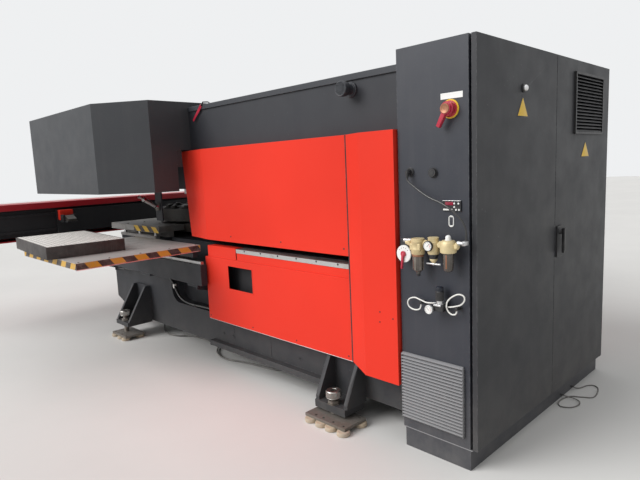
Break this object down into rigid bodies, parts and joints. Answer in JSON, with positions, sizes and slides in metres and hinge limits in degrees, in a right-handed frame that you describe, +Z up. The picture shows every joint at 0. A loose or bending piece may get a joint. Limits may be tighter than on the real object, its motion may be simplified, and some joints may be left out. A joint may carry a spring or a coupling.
{
  "type": "cnc turret punch press",
  "caption": "Bridge-frame CNC turret punch press with turret hood, moving sheet tables, cross beam, red side covers and electrical cabinet.",
  "frame": {"origin": "centre of the footprint on the floor, on the machine's centre line", "axes": "+X towards the flank with the air unit, +Y towards the cabinet doors, +Z up"},
  "size_m": [5, 5.9748, 2.25],
  "materials": {
    "dark_paint": "satin, charcoal grey",
    "red_paint": "satin, signal red",
    "bare_steel": "machined steel",
    "rubber": "matte",
    "aluminium": "satin",
    "brush": "bristle grid in a dark frame",
    "louvre_grey": "satin, grey",
    "black_plastic": "matte",
    "zinc_plate": "zinc plated",
    "yellow_plastic": "gloss",
    "red_plastic": "gloss",
    "brass": "cast, dull",
    "blue_plastic": "gloss",
    "black_cable": "matte",
    "white_hose": "satin"
  },
  "bodies": {
    "base": {"frame_sides": "dark_paint", "frame_base": "dark_paint", "frame_head": "dark_paint", "foot_brackets": "dark_paint", "jack_bolts": "bare_steel", "floor_pads": "bare_steel", "pad_discs": "rubber", "top_lid": "dark_paint", "upper_panels": "red_paint", "lower_panels": "red_paint", "pilasters": "red_paint", "slot_strips": "red_paint", "slot_angles": "aluminium", "hood": "dark_paint", "centre_table": "bare_steel", "bearing_housings": "dark_paint", "turret_gearmotors": "dark_paint", "ram_cylinder": "dark_paint", "guard_cylinder": "dark_paint", "rail_beams": "dark_paint", "guide_rails": "bare_steel", "cabinet_shell": "dark_paint", "cabinet_equipment": "zinc_plate", "flank_louvre": "louvre_grey", "flank_fittings": "black_plastic", "switch_base": "yellow_plastic", "air_unit": "brass", "fine_regulator": "brass", "flank_cable": "black_cable", "hose_left": "white_hose", "hose_right": "white_hose", "side_floor_cable": "black_cable", "cabinet_floor_cable": "black_cable", "arm_cable": "black_cable"},
    "lower_turret": {"lower_turret": "bare_steel", "dies": "bare_steel"},
    "upper_turret": {"upper_turret": "bare_steel", "tool_holders": "bare_steel"},
    "active_punch": {"active_punch": "bare_steel"},
    "ram": {"ram": "bare_steel"},
    "guard_rod": {"guard_rod": "bare_steel"},
    "carriage": {"carriage_arms": "dark_paint", "side_table_right": "dark_paint", "side_table_left": "dark_paint", "brush_block": "brush", "x_beam": "dark_paint", "beam_cover": "red_paint"},
    "cross_slide": {"cross_slide": "dark_paint", "clamps": "dark_paint", "clamp_covers": "red_paint"},
    "jaw_1": {"jaw_1": "bare_steel"},
    "jaw_2": {"jaw_2": "bare_steel"},
    "door_right": {"door_right": "dark_paint"},
    "door_left": {"door_left": "dark_paint", "door_vent": "black_plastic"},
    "door_handle": {"door_handle": "black_plastic"},
    "switch_handle": {"switch_handle": "red_plastic"},
    "valve_lever": {"valve_lever": "red_plastic"},
    "regulator_screw": {"regulator_screw": "bare_steel"},
    "fine_regulator_knob": {"fine_regulator_knob": "blue_plastic"}
  },
  "joints": [
    {"name": "carriage_travel", "type": "slide", "parent": "base", "child": "carriage", "axis": [0, 1, 0], "range_m": [-0.4, 0.78]},
    {"name": "cross_slide_travel", "type": "slide", "parent": "carriage", "child": "cross_slide", "axis": [1, 0, 0], "range_m": [-1.2, 1.2]},
    {"name": "jaw_1_pivot", "type": "hinge", "parent": "cross_slide", "child": "jaw_1", "pos_m": [-1.032, -2.393, 1.185], "axis": [1, 0, 0], "range_deg": [0, 15]},
    {"name": "jaw_2_pivot", "type": "hinge", "parent": "cross_slide", "child": "jaw_2", "pos_m": [1.032, -2.393, 1.185], "axis": [1, 0, 0], "range_deg": [0, 15]},
    {"name": "upper_turret_turn", "type": "hinge", "parent": "base", "child": "upper_turret", "pos_m": [0, -0.873, 1.2], "axis": [0, 0, 1], "continuous": true},
    {"name": "lower_turret_turn", "type": "hinge", "parent": "base", "child": "lower_turret", "pos_m": [0, -0.873, 1.08], "axis": [0, 0, 1], "continuous": true},
    {"name": "ram_stroke", "type": "slide", "parent": "base", "child": "ram", "axis": [0, 0, -1], "range_m": [0, 0.034]},
    {"name": "punch_stroke", "type": "slide", "parent": "upper_turret", "child": "active_punch", "axis": [0, 0, -1], "range_m": [0, 0.034]},
    {"name": "guard_rod_travel", "type": "slide", "parent": "base", "child": "guard_rod", "axis": [0.848, 0, 0.5299], "range_m": [-0.025, 0]},
    {"name": "door_right_hinge", "type": "hinge", "parent": "base", "child": "door_right", "pos_m": [0.921, 2.883, 1.2], "axis": [0, 0, -1], "range_deg": [0, 110]},
    {"name": "door_left_hinge", "type": "hinge", "parent": "base", "child": "door_left", "pos_m": [-0.921, 2.883, 1.2], "axis": [0, 0, 1], "range_deg": [0, 110]},
    {"name": "door_handle_turn", "type": "hinge", "parent": "door_left", "child": "door_handle", "pos_m": [-0.08, 2.927, 1.18], "axis": [0, 1, 0], "range_deg": [0, 90]},
    {"name": "switch_handle_turn", "type": "hinge", "parent": "base", "child": "switch_handle", "pos_m": [0.98, 2.759, 1.905], "axis": [1, 0, 0], "range_deg": [0, 90]},
    {"name": "valve_lever_turn", "type": "hinge", "parent": "base", "child": "valve_lever", "pos_m": [0.998, 2.487, 1.155], "axis": [-1, 0, 0], "range_deg": [0, 90]},
    {"name": "regulator_screw_turn", "type": "hinge", "parent": "base", "child": "regulator_screw", "pos_m": [1.008, 2.69, 1.121], "axis": [0, 0, 1], "range_deg": [0, 360]},
    {"name": "fine_regulator_knob_turn", "type": "hinge", "parent": "base", "child": "fine_regulator_knob", "pos_m": [0.988, 2.711, 0.989], "axis": [0, 0, 1], "range_deg": [0, 360]}
  ],
  "couplings": [
    {"joint": "lower_turret_turn", "follows": "upper_turret_turn", "ratio": 1},
    {"joint": "punch_stroke", "follows": "ram_stroke", "ratio": 1}
  ]
}
